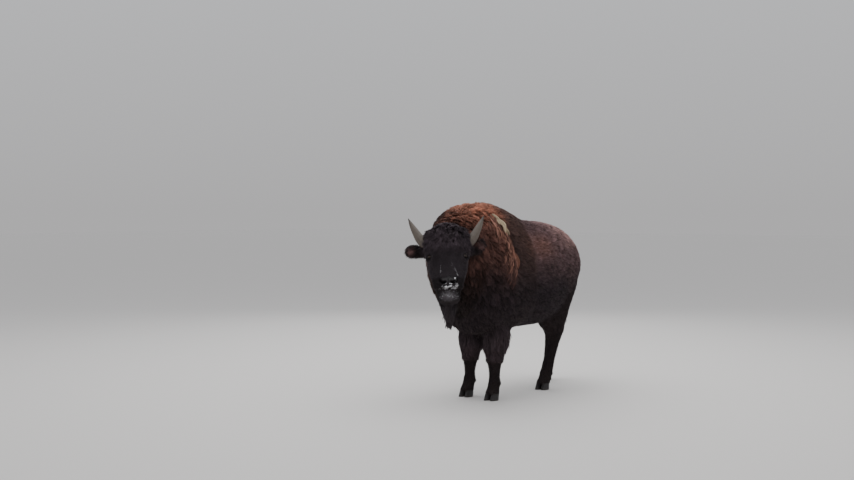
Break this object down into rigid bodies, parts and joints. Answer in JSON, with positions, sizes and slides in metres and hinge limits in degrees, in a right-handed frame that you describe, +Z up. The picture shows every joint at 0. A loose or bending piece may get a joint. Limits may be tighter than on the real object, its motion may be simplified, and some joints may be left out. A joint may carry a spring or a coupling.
{
  "type": "bison",
  "caption": "Young plains bison standing with its head turned to its left and one hind leg forward, a still life-size model in winter coat.",
  "frame": {"origin": "on the floor, below the middle of the whole model's box", "axes": "+Z up, the head towards -X, the animal's left side towards -Y"},
  "size_m": [2.261, 0.6938, 1.5963],
  "materials": {
    "cape_coat": "thick curly rust-brown wool of the hump, shoulders and neck",
    "body_coat": "short dense dark brown fur",
    "dark_coat": "near-black wool of the head and legs",
    "horn": "dull grey-beige horn sheath with fine rings at its base",
    "hoof": "dark worn horn",
    "eye": "wet dark brown, glossy",
    "nose": "bare black damp skin with fine pebbles",
    "frost": "crumbs of dry snow on the muzzle"
  },
  "bodies": {
    "root": {"forequarters": "cape_coat", "barrel": "body_coat", "hindquarters": "body_coat", "head": "dark_coat", "beard": "dark_coat", "neck": "cape_coat", "tail": "body_coat", "eye_left": "eye", "horn_left": "horn", "ear_left": "dark_coat", "fore_leg_left_upper": "dark_coat", "fore_leg_left_lower": "dark_coat", "fore_foot_left": "dark_coat", "fore_hoof_left_outer": "hoof", "fore_dewclaw_left_outer": "hoof", "fore_hoof_left_inner": "hoof", "fore_dewclaw_left_inner": "hoof", "hind_leg_left_upper": "dark_coat", "hind_leg_left_lower": "dark_coat", "hind_foot_left": "dark_coat", "hind_hoof_left_outer": "hoof", "hind_dewclaw_left_outer": "hoof", "hind_hoof_left_inner": "hoof", "hind_dewclaw_left_inner": "hoof", "eye_right": "eye", "horn_right": "horn", "ear_right": "dark_coat", "fore_leg_right_upper": "dark_coat", "fore_leg_right_lower": "dark_coat", "fore_foot_right": "dark_coat", "fore_hoof_right_inner": "hoof", "fore_dewclaw_right_inner": "hoof", "fore_hoof_right_outer": "hoof", "fore_dewclaw_right_outer": "hoof", "hind_leg_right_upper": "dark_coat", "hind_leg_right_lower": "dark_coat", "hind_foot_right": "dark_coat", "hind_hoof_right_inner": "hoof", "hind_dewclaw_right_inner": "hoof", "hind_hoof_right_outer": "hoof", "hind_dewclaw_right_outer": "hoof"}
  },
  "joints": []
}
